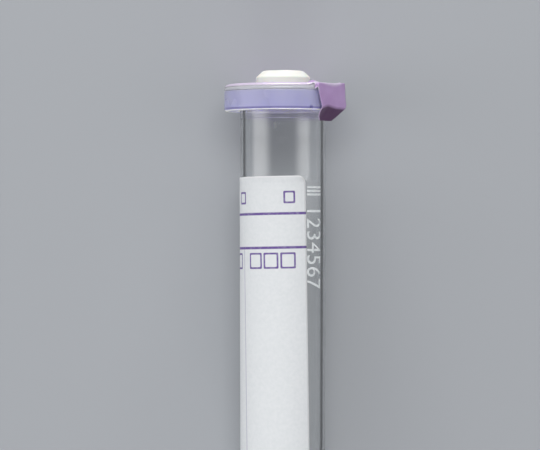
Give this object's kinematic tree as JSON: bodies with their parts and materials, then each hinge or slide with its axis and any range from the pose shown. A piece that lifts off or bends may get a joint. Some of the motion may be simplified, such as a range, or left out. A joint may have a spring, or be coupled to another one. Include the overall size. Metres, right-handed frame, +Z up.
{
  "type": "blood collection tube",
  "caption": "Clear round-bottomed blood collection tube lying on its side, with a violet ring under its flange, a film seal with a pull tab, a rubber septum and a paper label.",
  "frame": {"origin": "on the surface the tube lies on, under its axis, half way along its length", "axes": "+Y along the tube towards its mouth, +Z up out of the surface, +X across the tube, to the right when looking down with the mouth away from you"},
  "size_m": [0.0185, 0.078, 0.018],
  "materials": {
    "clear_plastic": "clear polished moulded plastic",
    "violet_plastic": "translucent violet moulded plastic, gloss",
    "violet_film": "opaque violet laminate film, satin",
    "white_rubber": "matt ivory rubber",
    "label_paper": "matt white label paper with violet rules"
  },
  "bodies": {
    "root": {"tube": "clear_plastic", "colour_ring": "violet_plastic", "sealing_film": "violet_film", "septum": "white_rubber", "label": "label_paper"}
  },
  "joints": []
}
